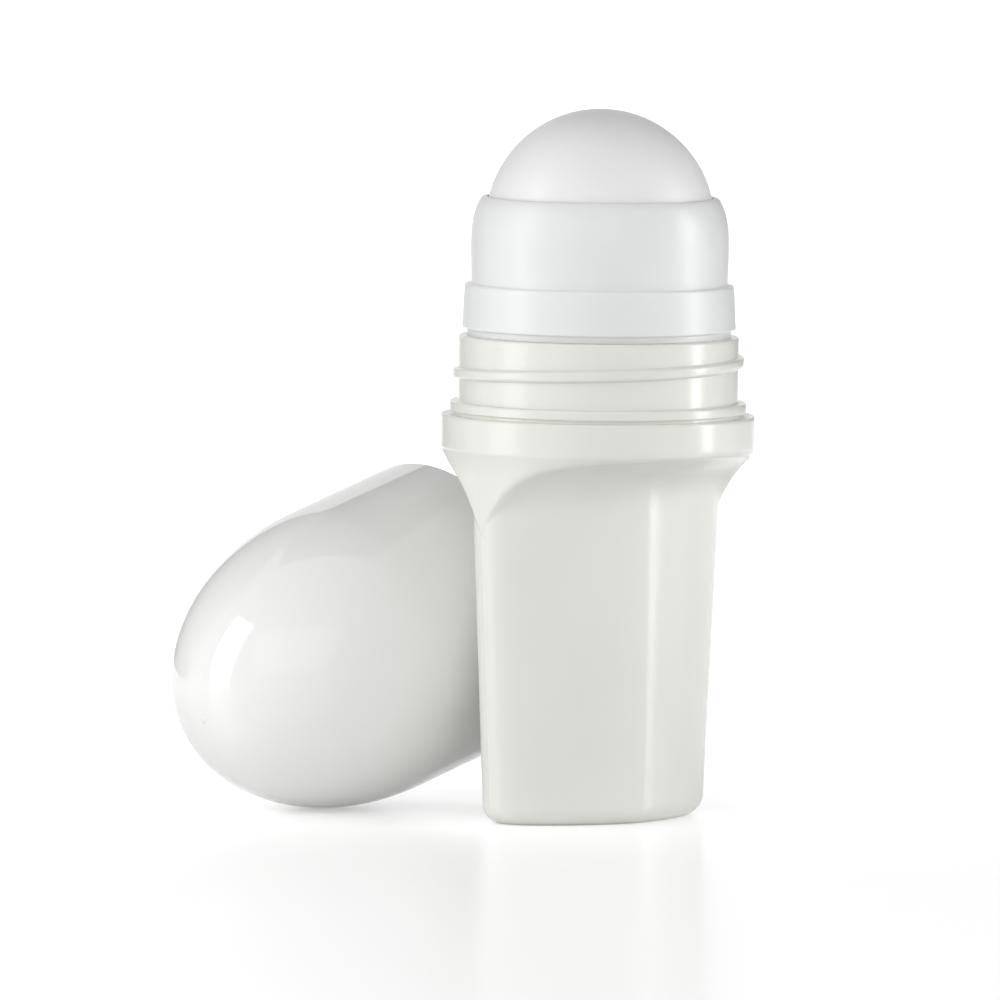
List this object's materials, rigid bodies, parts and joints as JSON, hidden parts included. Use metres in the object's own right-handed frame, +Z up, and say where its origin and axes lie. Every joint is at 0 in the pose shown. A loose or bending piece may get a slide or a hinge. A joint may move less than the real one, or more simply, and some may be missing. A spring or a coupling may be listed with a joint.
{
  "type": "roll on bottle",
  "caption": "White roll-on bottle with a round neck over a tapered oval body, a ball held in a translucent snap-in housing, and its domed cap taken off and leaning behind it.",
  "frame": {"origin": "centre of the bottle's foot on the standing plane, on the axis of the neck", "axes": "+Z up along the axis of the neck, -Y out of the broad front panel, -X out of one of the two narrow grip edges"},
  "size_m": [0.0768, 0.0848, 0.1104],
  "materials": {
    "bottle_white": "satin white polypropylene",
    "housing_natural": "natural translucent polypropylene",
    "ball_white": "fine satin white",
    "cap_gloss": "high gloss white"
  },
  "bodies": {
    "bottle": {"bottle": "bottle_white", "ball_housing": "housing_natural"},
    "ball": {"ball": "ball_white"},
    "cap": {"cap": "cap_gloss"}
  },
  "joints": [
    {"name": "ball_roll", "type": "hinge", "parent": "bottle", "child": "ball", "pos_m": [0, 0, 0.0926], "axis": [1, 0, 0], "continuous": true},
    {"name": "cap_lift", "type": "slide", "parent": "bottle", "child": "cap", "axis": [-0.0616, 0.7044, 0.7071], "range_m": [0, 0.06]}
  ]
}
